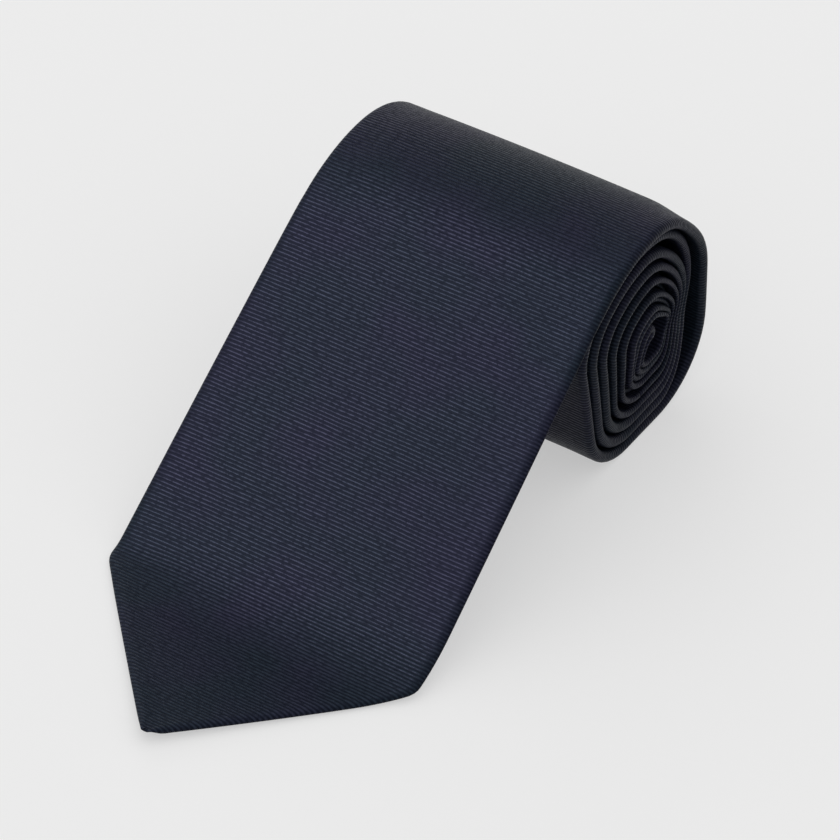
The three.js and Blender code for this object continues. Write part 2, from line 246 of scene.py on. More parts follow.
def halfWidth(s):
    s = np.asarray(s, float)
    toPoint = mix(tie["pointWidth"], tie["bladeWidth"], s / tie["bladePoint"]) / 2
    fromTail = tie["length"] - s
    toTail = mix(tie["pointWidth"], tie["tailWidth"], fromTail / tie["tailPoint"]) / 2
    t = np.clip((s - tie["bladePoint"]) / (tie["taperEnd"] - tie["bladePoint"]), 0, 1)
    taper = mix((1 - np.cos(np.pi * t)) / 2, t, tie["straightTaper"])
    blade = mix(tie["bladeWidth"], tie["neckWidth"], taper) / 2
    flare = np.clip((s - tie["flareStart"]) / (tie["length"] - tie["tailPoint"] - tie["flareStart"]), 0, 1)
    body = np.where(s < tie["taperEnd"], blade, mix(tie["neckWidth"], tie["tailWidth"], flare) / 2)
    body = softMin(body, toPoint, tie["shoulderRounding"])
    return np.maximum(softMin(body, toTail, 1.0), 0.3) + tie["foldFullness"] * ease(s / 6)


# Rows of the tie's course: its face in the middle and at the edge, the direction to its back, its thickness.
def layCourse():
    ramp = math.radians(lie["rampAngle"])
    thick = tie["freeThickness"]

    def freePath(radius):
        flat = lie["tipFlat"] + (lie["liftRadius"] - radius) * math.tan(ramp / 2)
        lifted = walk((0, thick), 0.0, [(0, flat), (radius, lie["rampAngle"])])
        run = (leaveHeight - lifted[-1][1]) / math.sin(ramp)
        return np.array(lifted + walk(lifted[-1], ramp, [(0, run)])[1:])

    middlePath, edgePath = freePath(lie["liftRadius"]), freePath(lie["edgeLiftRadius"])
    total = lengthAlong(middlePath)[-1]
    places = np.concatenate([np.arange(0, 3, 0.5), np.arange(3, total - 0.6, 1.1)])
    middle = resample(middlePath, places)
    edge = resample(edgePath, places * lengthAlong(edgePath)[-1] / total)
    heading = np.gradient(middle, axis=0)
    heading /= np.linalg.norm(heading, axis=1)[:, None]
    leave = middlePath[-1]
    rows = [dict(face=f, edge=e, inward=(h[1], -h[0]), thick=thick, room=0.0, tail=False, roll=None)
            for f, e, h in zip(middle, edge, heading)]

    def addWound(station, face, back, room, tail):
        span = np.linalg.norm(back - face)
        rows.append(dict(face=face, edge=face, inward=(back - face) / span, thick=span,
                         room=room, tail=tail, roll=station))

    last = lie["turns"] * stepsPerTurn
    for j in range(last + 1):
        room = np.linalg.norm(rollPoint(j, 1) - rollPoint(j, 0))
        addWound(j, rollPoint(j, 0) + leave, rollPoint(j, lie["layerShare"]) + leave, room, False)
    foldShare = (lie["layerShare"] + lie["tailShare"]) / 2
    centre, face = rollPoint(last, foldShare) + leave, rollPoint(last, 0) + leave
    out, span = face - centre, np.linalg.norm(rollPoint(last, lie["layerShare"]) - rollPoint(last, 0))
    foldSteps = 16
    for i in range(1, foldSteps):
        a = math.pi * i / foldSteps
        arm = np.array([out[0] * math.cos(a) + out[1] * math.sin(a),
                        out[1] * math.cos(a) - out[0] * math.sin(a)])
        rows.append(dict(face=centre + arm, edge=centre + arm, inward=-arm / np.linalg.norm(arm), thick=span,
                         room=0.0, tail=False, roll=last))
    for j in range(last, math.ceil(lie["tailInside"] * stepsPerTurn) - 1, -1):
        face = rollPoint(j, lie["tailShare"] + lie["layerShare"]) + leave
        addWound(j, face, rollPoint(j, lie["tailShare"]) + leave, 0.0, True)
    return rows, leave


rows, leave = layCourse()
faces = np.array([r["face"] for r in rows])
along = lengthAlong(faces)
half = halfWidth(along)
rollBegins = along[next(i for i, r in enumerate(rows) if r["roll"] == 0)]

# Middle in X: the wound edges line up at the right-hand end, and the tail lies on the blade's middle.
middleX, middleAt, tailHalfAt = np.zeros(len(rows)), {}, {}
for i, r in enumerate(rows):
    if r["roll"] is None:
        continue
    if r["tail"]:
        middleX[i] = middleAt[r["roll"]]
        tailHalfAt[r["roll"]] = half[i] if along[i] < tie["length"] - tie["tailPoint"] else 0.0
    else:
        middleX[i] = max(tie["bladeWidth"] / 2 - lie["endStep"] - half[i], 0)
        middleAt[r["roll"]] = middleX[i]

# Folded edges are fuller than the middle wherever the tail doesn't lie beside them.
edgeThick = np.zeros(len(rows))
for i, r in enumerate(rows):
    if r["roll"] is None:
        edgeThick[i] = lie["freeEdgeThickness"]
    elif r["tail"] or not r["room"]:
        edgeThick[i] = r["thick"] * 1.05
    else:
        spare = half[i] - tailHalfAt.get(r["roll"], 0.0)
        full = min(0.9 * r["room"], lie["edgeThickness"])
        edgeThick[i] = mix(r["thick"] * 1.05, max(full, r["thick"] * 1.05), float(ease((spare - 2.5) / 5)))


def smoothed(values, reach):
    kernel = np.hanning(2 * reach + 3)[1:-1]
    padded = np.pad(values, reach, mode="edge")
    return np.convolve(padded, kernel / kernel.sum(), mode="valid")


table = dict(
    s=along,
    faceY=faces[:, 0], faceZ=faces[:, 1],
    edgeY=np.array([r["edge"][0] for r in rows]), edgeZ=np.array([r["edge"][1] for r in rows]),
    inY=np.array([r["inward"][0] for r in rows]), inZ=np.array([r["inward"][1] for r in rows]),
    thick=smoothed(np.array([r["thick"] for r in rows]), 5),
    edge=smoothed(edgeThick, 7),
    middle=middleX,
)
middleY = faces[:, 0].min() - cadLow.y / mm  # the point stays where the frame has it


def at(name, s):
    return np.interp(s, table["s"], table[name])


# Depth of the face and of the back at a place along and across the tie, before the crown.
def layer(s, x):
    h = np.maximum(halfWidth(s), 0.3)
    puff = np.minimum(lie["puffWidth"], 0.8 * h)
    q = ease((np.abs(x) - (h - puff)) / (puff * 0.85))
    thick, full = at("thick", s), at("edge", s)
    grown = full - thick
    outer = np.where(s < rollBegins, 0.35, 0.12)
    nearEnd = np.minimum(s, tie["length"] - s)
    closed = mix(0.15, 1.0, ease(nearEnd / 3))
    return -grown * q * outer * closed, (thick + grown * q * (1 - outer)) * closed


# A point of the tie in metres, from its place along, across and its depth from the face.
def place(s, x, depth):
    s, x, depth = np.broadcast_arrays(np.asarray(s, float), np.asarray(x, float), np.asarray(depth, float))
    h = np.maximum(halfWidth(s), 0.3)
    across = np.clip(np.abs(x) / h, 0, 1)
    toEdge = np.where(x < 0, across ** 2.5, 0)
    crown = lie["crown"] * ease(s / 60) * (1 - ease((s - rollBegins - 20) / 60))
    sag = sum(dent["depth"] * np.exp(-((s - rollBegins - dent["past"]) / dent["spread"]) ** 2)
              * np.where(x * dent["side"] > 0, ease((across - 0.7) / 0.3), 0) for dent in edgeSags)
    lift = depth - crown * (1 - across ** 2) + sag
    y = mix(at("faceY", s), at("edgeY", s), toEdge) + at("inY", s) * lift
    z = mix(at("faceZ", s), at("edgeZ", s), toEdge) + at("inZ", s) * lift
    point = np.clip(1 - s / tie["bladePoint"], 0, 1)
    y = y + lie["tipBack"] * point ** 1.15
    z = z + lie["tipCurl"] * point ** 2
    soft = tie["floorSoftness"]  # nothing sinks into the floor
    z = np.where(z < soft, soft * np.exp((np.minimum(z, soft) - soft) / soft), z)
    x = x + lie["tipAside"] * point + at("middle", s)
    return np.stack([x * mm, (y - middleY) * mm, z * mm], axis=-1)


back = dict(
    bladeHem=13.0, tailHem=8.0, bladeTack=95.0, tailTack=52.0, seamGap=0.24,
    overlapEnds=262.0, overlapFade=20.0, rightLap=1.6, leftLap=4.6, lapRise=0.42,
)


# Half of the opening between the two flaps on the back.
def flapEdge(s):
    s = np.asarray(s, float)

    def opening(fromPoint, point, hem, tack, width):
        slanted = halfWidth(s) - hem
        closing = (width / 2 - hem) * (tack - fromPoint) / (tack - point)
        return np.where(fromPoint < point, slanted, closing)

    blade = opening(s, tie["bladePoint"], back["bladeHem"], back["bladeTack"], tie["bladeWidth"])
    fromTail = tie["length"] - s
    tail = opening(fromTail, tie["tailPoint"], back["tailHem"], back["tailTack"], tie["tailWidth"])
    blade = np.where(s < back["bladeTack"], blade, 0)
    tail = np.where(fromTail < back["tailTack"], tail, 0)
    edge = np.maximum(np.maximum(blade, tail), back["seamGap"] / 2)
    return np.minimum(edge, np.maximum(halfWidth(s) - 1.8, 0.15))


# Across and depth of the folded cloth's outer and inner line, from the right flap round to the left one.
def clothSection(s):
    s = np.asarray(s, float)[:, None]
    h = halfWidth(s)
    thick, full = at("thick", s), at("edge", s)
    cloth = np.minimum(tie["clothThickness"], 0.22 * thick)
    flap = flapEdge(s)
    lapped = ease((s - back["bladeTack"]) / 8) * (1 - ease((s - back["overlapEnds"]) / back["overlapFade"]))
    overlap = (1 - ease(flap / 6)) * lapped
    rightStart, leftStart = flap - back["rightLap"] * overlap, flap - back["leftLap"] * overlap
    onRoll = ease((s - rollBegins + 20) / 40)
    foldWidth = np.minimum(mix(lie["freeFold"], 0.5 * full, onRoll), 0.5 * h)
    t = np.linspace(0, 1, 12) ** 0.85
    turn = np.linspace(0, np.pi, 11)[1:-1]
    flat = np.linspace(1, -1, 33)
    flat = np.sign(flat) * np.abs(flat) ** 0.9

    def backLine(start, lifted):
        x = mix(start, h - foldWidth, t)
        depth = layer(s, x)[1]
        lip = 0.22 * np.exp(-((x - start) / 0.5) ** 2) * np.minimum(thick, 1)
        over = back["lapRise"] * overlap * (1 - ease((x - 5) / 4)) * lifted
        return x, depth - lip + over

    def edgeLine(inset):
        x = h - foldWidth + (foldWidth - inset) * np.sin(turn)
        face, behind = layer(s, h)
        centre, reach = (face + behind) / 2, (behind - face) / 2 - inset
        return x, centre + reach * np.cos(turn)

    faceX = (h - foldWidth) * flat
    faceDepth = layer(s, faceX)[0]
    (rx, rd), (lx, ld) = backLine(rightStart, 1), backLine(leftStart, 0)
    (ex, ed), (ix, idp) = edgeLine(0.0), edgeLine(cloth)
    outerX = np.concatenate([rx, ex, faceX, -ex[:, ::-1], -lx[:, ::-1]], axis=1)
    outerD = np.concatenate([rd, ed, faceDepth, ed[:, ::-1], ld[:, ::-1]], axis=1)
    innerX = np.concatenate([rx, ix, faceX, -ix[:, ::-1], -lx[:, ::-1]], axis=1)
    innerD = np.concatenate([rd - cloth, idp, faceDepth + cloth, idp[:, ::-1], ld[:, ::-1] - cloth], axis=1)
    return outerX, outerD, innerX, innerD


def stationsBetween(begin, end, marks=()):
    inside = table["s"][(table["s"] > begin + 0.1) & (table["s"] < end - 0.1)]
    marks = [m for m in marks if begin < m < end]
    inside = [v for v in inside if all(abs(v - m) > 0.15 for m in marks)]
    return np.array(sorted([begin, end, *inside, *marks]))


def meshPiece(name, points, quads, uvs):
    mesh = bpy.data.meshes.new(name)
    mesh.from_pydata([tuple(p) for p in points], [], quads)
    mesh.validate()
    layerUv = mesh.uv_layers.new(name="cloth")
    picked = np.zeros(len(mesh.loops), np.int32)
    mesh.loops.foreach_get("vertex_index", picked)
    layerUv.data.foreach_set("uv", np.asarray(uvs, np.float32)[picked].ravel())
    piece = bpy.data.objects.new(name, mesh)
    bpy.context.scene.collection.objects.link(piece)
    mesh.polygons.foreach_set("use_smooth", [True] * len(mesh.polygons))
    facingOut(piece)
    return piece


# Turns a closed mesh round if its faces look inwards.
def facingOut(piece):
    mesh = piece.data
    mesh.calc_loop_triangles()
    co = np.array([v.co for v in mesh.vertices])
    tri = np.array([t.vertices[:] for t in mesh.loop_triangles])
    a, b, c = co[tri[:, 0]], co[tri[:, 1]], co[tri[:, 2]]
    if (a * np.cross(b, c)).sum() < 0:
        mesh.flip_normals()


# A closed body from rings: an outer and an inner line of (x, depth) at each place along the tie.
def sweep(name, s, sections):
    outerX, outerD, innerX, innerD = sections
    n, m = outerX.shape
    x = np.concatenate([outerX, innerX[:, ::-1]], axis=1)
    d = np.concatenate([outerD, innerD[:, ::-1]], axis=1)
    points = place(s[:, None], x, d)
    step = np.linalg.norm(np.diff(points[:, :m], axis=1), axis=2)
    girth = np.concatenate([np.zeros((n, 1)), np.cumsum(step, axis=1)], axis=1)
    girth = girth - girth[:, m // 2][:, None]
    u = np.concatenate([girth, girth[:, ::-1]], axis=1)
    v = np.repeat(s[:, None] * mm, 2 * m, axis=1)
    size = 2 * m
    i, j = np.meshgrid(np.arange(n - 1), np.arange(size), indexing="ij")
    k = (j + 1) % size
    corners = [i * size + j, i * size + k, (i + 1) * size + k, (i + 1) * size + j]
    quads = np.stack(corners, axis=-1).reshape(-1, 4).tolist()
    for ring, flip in ((0, False), (n - 1, True)):
        first = ring * size
        for a in range(m - 1):
            quad = [first + a, first + size - 1 - a, first + size - 2 - a, first + a + 1]
            quads.append(quad[::-1] if flip else quad)
    return meshPiece(name, points.reshape(-1, 3), quads, np.stack([u, v], axis=-1).reshape(-1, 2))


print("tie cloth")
tieMarks = [tie["bladePoint"], back["bladeTack"],
            tie["length"] - tie["tailPoint"], tie["length"] - back["tailTack"]]


def clothPiece(name, begin, end):
    s = stationsBetween(begin, end, tieMarks)
    return sweep(name, s, clothSection(s))


gap = tie["panelGap"]
bladeCloth = clothPiece("bladeCloth", 0.0, tie["neckSeam"] - gap)
neckCloth = clothPiece("neckCloth", tie["neckSeam"] + gap, tie["tailSeam"] - gap)
tailCloth = clothPiece("tailCloth", tie["tailSeam"] + gap, tie["length"])

print("interlinings and tipping")
inside = dict(
    interliningEdge=1.9, interliningDepth=(0.30, 0.60), interliningStart=13.0,
    tippingEdge=2.6, tippingDepth=(0.66, 0.74), tippingStart=8.0, tippingRun=8.0,
    bladeTippingCut=(75.0, 95.0), tailTippingCut=(35.0, 52.0), bladeSlack=0.12, tailSlack=0.06,
    lapLength=12.0, lapDepth=(0.61, 0.68), lapInset=0.4,
)


# A flat layer between the face and the back of the folded cloth.
def slabSection(s, inset, depths, slack):
    s = np.asarray(s, float)[:, None]
    side = np.maximum(halfWidth(s) - inset, 0.25)
    x = side * np.sin(np.linspace(1, -1, 33) * np.pi / 2)
    face, behind = layer(s, x)
    near, far = mix(face, behind, depths[0]), mix(face, behind, depths[1])
    ripple = slack * np.sin(s / 5.1 + x / 7.3) * np.sin(x / 3.7 - s / 11.0)
    ripple = ripple * np.clip(1 - (x / side) ** 2, 0, 1)
    thin = 1 - 0.5 * (x / side) ** 8
    middle, reach = (near + far) / 2, (far - near) / 2 * thin
    return x, middle + reach + ripple, x, middle - reach + ripple


def slabPiece(name, begin, end, inset, depths, slack=0.0, marks=()):
    s = stationsBetween(begin, end, list(marks))
    return sweep(name, s, slabSection(s, inset, depths, slack))


join = tie["interliningJoin"]
bladeInterlining = slabPiece("bladeInterlining", inside["interliningStart"], join - gap,
                             inside["interliningEdge"], inside["interliningDepth"], marks=tieMarks)
tailInterlining = slabPiece("tailInterlining", join + gap, tie["length"] - inside["interliningStart"],
                            inside["interliningEdge"], inside["interliningDepth"], marks=tieMarks)
interliningLap = slabPiece("interliningLap", join - inside["lapLength"] / 2, join + inside["lapLength"] / 2,
                           inside["interliningEdge"] + inside["lapInset"], inside["lapDepth"])
bladeTipping = slabPiece("bladeTipping", inside["tippingStart"], back["bladeTack"] + inside["tippingRun"],
                         inside["tippingEdge"], inside["tippingDepth"],
                         slack=inside["bladeSlack"], marks=tieMarks)
tailTipping = slabPiece("tailTipping", tie["length"] - back["tailTack"] - inside["tippingRun"],
                        tie["length"] - inside["tippingStart"], inside["tippingEdge"],
                        inside["tippingDepth"], slack=inside["tailSlack"], marks=tieMarks)

print("keeper loop and blank label")
keeper = dict(place=205.0, length=50.0, width=11.0, thickness=0.5, clear=0.12, arch=0.3, tackWidth=2.5)
label = dict(place=240.0, length=30.0, width=15.0, thickness=0.22, clear=0.06)


# A strip sewn across the back: rings along the tie, lines across it.
def stripPiece(name, spec, arch=0.0, turned=False):
    s = np.linspace(spec["place"] - spec["width"] / 2, spec["place"] + spec["width"] / 2, 17)
    rim = np.clip(1 - np.abs(np.linspace(-1, 1, 17)) ** 6, 0.12, 1)[:, None]
    x = np.linspace(1, -1, 41)[None, :] * spec["length"] / 2 * np.ones((17, 1))
    low = layer(s[:, None], x)[1] + spec["clear"] + arch * np.clip(1 - (x / spec["length"] * 2.15) ** 4, 0, 1)
    middle, reach = low + spec["thickness"] / 2, spec["thickness"] / 2 * rim
    piece = sweep(name, s, (x, middle + reach, x, middle - reach))
    if turned:
        uv = piece.data.uv_layers["cloth"].data
        for item in uv:
            item.uv = (item.uv[1], item.uv[0])
    return piece


keeperLoop = stripPiece("keeperLoop", keeper, arch=keeper["arch"], turned=True)
blankLabel = stripPiece("blankLabel", label)

print("stitches")
stitching = dict(
    thread=0.34, endShare=0.28, middleShare=0.22, hemLength=2.0, hemStep=3.06, bladeHemStart=14.0,
    tailHemStart=9.0, slipLength=1.6, slipStep=7.0, seamLength=1.3, seamStep=2.4, seamBow=0.08,
    tackLength=9.0, tackStrands=5, tackWraps=15, labelLength=1.8,
)


# One stitch along X, bowed up in the middle, with its ends going down into the cloth.
def modelStitch(name, length, thread, bow):
    bpy.ops.object.select_all(action="DESELECT")
    bpy.ops.mesh.primitive_circle_add(vertices=7, radius=thread * stitching["endShare"], fill_type="NGON",
                                      location=(-length / 2, 0, -bow), rotation=(0, math.pi / 2, 0))
    stitch = bpy.context.object
    stitch.name = name
    bpy.ops.object.mode_set(mode="EDIT")
    steps, ends, fuller = 6, stitching["endShare"], stitching["middleShare"]
    for i in range(steps):
        t0, t1 = i / steps, (i + 1) / steps
        rise = bow * 2 * (math.sin(math.pi * t1) - math.sin(math.pi * t0))
        bpy.ops.mesh.extrude_region_move(TRANSFORM_OT_translate={"value": (length / steps, 0, rise)})
        grow = (ends + fuller * math.sin(math.pi * t1)) / (ends + fuller * math.sin(math.pi * t0))
        centre = (-length / 2 + length * t1, 0, -bow + bow * 2 * math.sin(math.pi * t1))
        bpy.ops.transform.resize(value=(1, grow, grow), center_override=centre)
    bpy.ops.mesh.select_all(action="SELECT")
    bpy.ops.mesh.normals_make_consistent(inside=False)
    bpy.ops.object.mode_set(mode="OBJECT")
    bpy.ops.object.transform_apply(location=True, rotation=True, scale=True)
    bpy.ops.object.shade_smooth()
    bpy.ops.object.select_all(action="DESELECT")
    return stitch


# Place and axes on the tie's back: X along the stitch, Z out of the back. heading is from across to along.
def frameAt(s, x, depth, heading):
    here = place(s, x, depth)
    alongTie = place(s + 0.2, x, depth) - place(s - 0.2, x, depth)
    across = place(s, x + 0.2, depth) - place(s, x - 0.2, depth)
    alongTie, across = alongTie / np.linalg.norm(alongTie), across / np.linalg.norm(across)
    out = place(s, x, depth + 0.5) - here
    a = math.radians(heading)
    first = across * math.cos(a) + alongTie * math.sin(a)
    out = out - first * (out @ first)
    out /= np.linalg.norm(out)
    second = np.cross(out, first)
    axes = np.stack([first, second, out], axis=1)
    matrix = Matrix([(*map(float, row), 0) for row in axes] + [(0, 0, 0, 1)])
    matrix.translation = Vector([float(v) for v in here])
    return matrix


# Copies one modelled stitch to each spot (s, x, depth, heading) and joins them into a row.
def sewRow(name, length, spots, bow=0.14, thread=None):
    thread = thread or stitching["thread"]
    model = modelStitch(name, length * mm, thread * mm, bow * mm)
    copies = []
    for spot in spots:
        copy = model.copy()
        copy.data = model.data.copy()
        copy.data.transform(frameAt(*spot))
        bpy.context.scene.collection.objects.link(copy)
        copies.append(copy)
    bpy.data.objects.remove(model)
    bpy.ops.object.select_all(action="DESELECT")
    for copy in copies:
        copy.select_set(True)
    bpy.context.view_layer.objects.active = copies[0]
    bpy.ops.object.join()
    copies[0].name = name
    bpy.ops.object.select_all(action="DESELECT")
    return copies[0]


def backDepth(s, x):
    return float(layer(np.array(s), np.array(x))[1])


# Slanting stitches along both hems of a point, from the tack towards the point.
def hemSpots(fromPoint, toPlace):
    spots = []
    for side in (-1, 1):
        s = fromPoint
        while (s < toPlace) if fromPoint < toPlace else (s > toPlace):
            x = float(flapEdge(s)) - 0.25
            if x > 1.2:
                spots.append((s, side * x, backDepth(s, x) - 0.12, 90 - side * 38))
            s += stitching["hemStep"] * (1 if fromPoint < toPlace else -1)
    return spots


bladeHemStitches = sewRow("bladeHemStitches", stitching["hemLength"],
                          hemSpots(stitching["bladeHemStart"], back["bladeTack"] - 5))
tailHemStitches = sewRow("tailHemStitches", stitching["hemLength"],
                         hemSpots(tie["length"] - stitching["tailHemStart"],
                                  tie["length"] - back["tailTack"] + 4))


def slipSpots(begin, end):
    spots, s = [], begin
    while s < end:
        x, rise = (-0.9, 0.1) if s < back["overlapEnds"] else (0.0, -0.05)
        spots.append((s, x, backDepth(s, 0) + rise, 14))
        s += stitching["slipStep"]
    return spots


slipStitchFront = sewRow("slipStitchFront", stitching["slipLength"],
                         slipSpots(back["bladeTack"] + 6, rollBegins - 2))
slipStitchWound = sewRow("slipStitchWound", stitching["slipLength"],
                         slipSpots(rollBegins + 4, tie["length"] - back["tailTack"] - 4))


def seamSpots(s):
    reach = float(halfWidth(s)) - 3
    count = int(2 * reach / stitching["seamStep"])
    return [(s, -reach + 2 * reach * i / count, 0.16, 90) for i in range(count + 1)]


bladeNeckSeam = sewRow("bladeNeckSeam", stitching["seamLength"], seamSpots(tie["neckSeam"]),
                       bow=stitching["seamBow"])
neckTailSeam = sewRow("neckTailSeam", stitching["seamLength"], seamSpots(tie["tailSeam"]),
                       bow=stitching["seamBow"])


# Strands across the seam, bound by short wraps.
def barTack(name, s, length):
    depth = backDepth(s, 0) + 0.1
    strands = stitching["tackStrands"]
    across = [(s + (i - (strands - 1) / 2) * 0.3, 0.0, depth, 0) for i in range(strands)]
    strandRow = sewRow(name, length, across, bow=0.12)
    wraps = [(s, -length / 2 + length * (i + 0.5) / stitching["tackWraps"], depth + 0.12, 90 + 8 * (-1) ** i)
             for i in range(stitching["tackWraps"])]
    wrapRow = sewRow(name + "Wraps", 2.1, wraps, bow=0.1, thread=0.3)
    wrapRow.select_set(True)
    strandRow.select_set(True)
    bpy.context.view_layer.objects.active = strandRow
    bpy.ops.object.join()
    bpy.ops.object.select_all(action="DESELECT")
    return strandRow


bladeBarTack = barTack("bladeBarTack", back["bladeTack"], stitching["tackLength"])
tailBarTack = barTack("tailBarTack", tie["length"] - back["tailTack"], stitching["tackLength"] - 2)


def keeperTack(name, side):
    x = side * (keeper["length"] / 2 - keeper["tackWidth"] / 2)
    top = backDepth(keeper["place"], x) + keeper["clear"] + keeper["thickness"] + 0.1
    spots = [(keeper["place"] + keeper["width"] * (i - 4) / 10, x, top, (25, -25)[i % 2]) for i in range(9)]
    return sewRow(name, keeper["tackWidth"], spots, bow=0.16)


keeperTackLeft = keeperTack("keeperTackLeft", -1)
keeperTackRight = keeperTack("keeperTackRight", 1)
labelTop = backDepth(label["place"], 0) + label["clear"] + label["thickness"]
labelStitches = sewRow("labelStitches", stitching["labelLength"], [
    (label["place"] + side * (label["width"] / 2 - 1.0), x, labelTop + 0.05, 0)
    for side in (-1, 1) for x in np.linspace(-13, 13, 9)])

print("materials")


def nodeTree(name):
    material = bpy.data.materials.new(name)
    material.use_nodes = True
    return material, material.node_tree, material.node_tree.nodes["Principled BSDF"]


def addMath(tree, operation, a, b=None, clamp=False):
    node = tree.nodes.new("ShaderNodeMath")
    node.operation = operation
    node.use_clamp = clamp
    for socket, value in zip(node.inputs, (a, b)):
        if value is None:
            continue
        if isinstance(value, (int, float)):
            socket.default_value = value
        else:
            tree.links.new(value, socket)
    return node.outputs[0]


def addMix(tree, share, a, b):
    node = tree.nodes.new("ShaderNodeMix")
    node.data_type = "RGBA"
    sockets = [node.inputs[0], node.inputs[6], node.inputs[7]]  # the share and the two colours
    for socket, value in zip(sockets, (share, a, b)):
        if isinstance(value, tuple):
            socket.default_value = (*value, 1)
        elif isinstance(value, (int, float)):
            socket.default_value = value
        else:
            tree.links.new(value, socket)
    return node.outputs[2]


def addNoise(tree, vector, scale, detail=2.0, rough=0.5):
    node = tree.nodes.new("ShaderNodeTexNoise")
    node.inputs["Scale"].default_value = scale
    node.inputs["Detail"].default_value = detail
    node.inputs["Roughness"].default_value = rough
    tree.links.new(vector, node.inputs["Vector"])
    return node.outputs["Fac"]


def addRange(tree, value, low, high, toLow=0.0, toHigh=1.0):
    node = tree.nodes.new("ShaderNodeMapRange")
    node.inputs["From Min"].default_value = low
    node.inputs["From Max"].default_value = high
    node.inputs["To Min"].default_value = toLow
    node.inputs["To Max"].default_value = toHigh
    tree.links.new(value, node.inputs["Value"])
    return node.outputs["Result"]


def clothCoordinates(tree):
    uv = tree.nodes.new("ShaderNodeUVMap")
    uv.uv_map = "cloth"
    parts = tree.nodes.new("ShaderNodeSeparateXYZ")
    tree.links.new(uv.outputs[0], parts.inputs[0])
    return parts.outputs[0], parts.outputs[1]


def addBump(tree, shader, height, distance):
    bump = tree.nodes.new("ShaderNodeBump")
    bump.inputs["Distance"].default_value = distance
    bump.inputs["Strength"].default_value = 1.0
    tree.links.new(height, bump.inputs["Height"])
    tree.links.new(bump.outputs[0], shader.inputs["Normal"])


def stretched(tree, u, v, scaleU, scaleV):
    node = tree.nodes.new("ShaderNodeCombineXYZ")
    tree.links.new(addMath(tree, "MULTIPLY", u, scaleU), node.inputs[0])
    tree.links.new(addMath(tree, "MULTIPLY", v, scaleV), node.inputs[1])
    return node.outputs[0]


# The groove colours are darker than the rib colours: partly the yarn's own tone, partly painted shade in the
# grooves between the ribs.
twill = dict(
    ribPitch=0.00087, ribHeight=0.00007, ribRoughness=0.33, grooveRoughness=0.55,
    ribTeal=(0.0102, 0.0152, 0.0222), ribPlum=(0.0138, 0.0144, 0.0262),
    grooveShadeTeal=(0.0016, 0.0032, 0.0054), grooveShadePlum=(0.0022, 0.0027, 0.0065),
    specular=0.10, specularTint=(0.60, 0.62, 1.0),
)


def makeNavyTwill():
    material, tree, shader = nodeTree("navyRibbedTwill")
    u, v = clothCoordinates(tree)
    wobble = addNoise(tree, stretched(tree, u, v, 55, 140), 1.0, 2.0)
    phase = addMath(tree, "MULTIPLY", v, 2 * math.pi / twill["ribPitch"])
    phase = addMath(tree, "ADD", phase, addMath(tree, "MULTIPLY", wobble, 4.0))
    wave = addRange(tree, addMath(tree, "COSINE", phase), -1.0, 1.0)
    # Short light dashes along the rib tops are painted glints, and the rib tops take the lighter colour
    # through them.
    glintDash = addNoise(tree, stretched(tree, u, v, 760, 1.1 / twill["ribPitch"]), 1.0, 3.0, 0.6)
    glintDashStrength = addRange(tree, glintDash, 0.36, 0.66, 0.30, 1.60)
    yarn = addNoise(tree, stretched(tree, u, v, 3200, 2.2 / twill["ribPitch"]), 1.0, 2.0, 0.6)
    ribTop = addMath(tree, "POWER", wave, 1.4)
    light = addMath(tree, "MULTIPLY", ribTop, glintDashStrength, clamp=True)
    patch = addNoise(tree, stretched(tree, u, v, 34, 34), 1.0, 2.0)
    ribColour = addMix(tree, addRange(tree, patch, 0.42, 0.60), twill["ribTeal"], twill["ribPlum"])
    grooveShadeColour = addMix(tree, addRange(tree, patch, 0.42, 0.60), twill["grooveShadeTeal"], twill["grooveShadePlum"])
    tree.links.new(addMix(tree, light, grooveShadeColour, ribColour), shader.inputs["Base Color"])
    gloss = addRange(tree, light, 0.15, 0.85, twill["grooveRoughness"], twill["ribRoughness"])
    tree.links.new(gloss, shader.inputs["Roughness"])
    height = addMath(tree, "ADD", wave, addMath(tree, "MULTIPLY", yarn, 0.5))
    addBump(tree, shader, height, twill["ribHeight"])
    shader.inputs["Specular IOR Level"].default_value = twill["specular"]
    shader.inputs["Specular Tint"].default_value = (*twill["specularTint"], 1)
    return material


def makeFloorPaper():
    material, tree, shader = nodeTree("paleFloorPaper")
    where = tree.nodes.new("ShaderNodeTexCoord")
    grain = addNoise(tree, where.outputs["Object"], 220.0, 3.0)
    shade = addRange(tree, grain, 0.3, 0.7, 0.0, 1.0)
    low = tuple(c * 0.995 for c in studio["floorColour"])
    tree.links.new(addMix(tree, shade, low, studio["floorColour"]), shader.inputs["Base Color"])
    shader.inputs["Roughness"].default_value = 0.85
    shader.inputs["Specular IOR Level"].default_value = 0.1
    shader.inputs["Emission Color"].default_value = (1, 1, 1, 1)
    shader.inputs["Emission Strength"].default_value = studio["floorGlow"]
    return material


def makeWool():
    material, tree, shader = nodeTree("brushedWoolInterlining")
    where = tree.nodes.new("ShaderNodeTexCoord").outputs["Object"]
    fuzz = addNoise(tree, where, 1900.0, 4.0, 0.65)
    cloud = addNoise(tree, where, 160.0, 2.0)
    colour = addMix(tree, addRange(tree, cloud, 0.35, 0.65), (0.60, 0.56, 0.47), (0.71, 0.68, 0.59))
    colour = addMix(tree, addRange(tree, fuzz, 0.3, 0.75), (0.48, 0.44, 0.37), colour)
    tree.links.new(colour, shader.inputs["Base Color"])
    addBump(tree, shader, fuzz, 0.00012)
    shader.inputs["Roughness"].default_value = 0.95
    shader.inputs["Sheen Weight"].default_value = 0.4
    return material


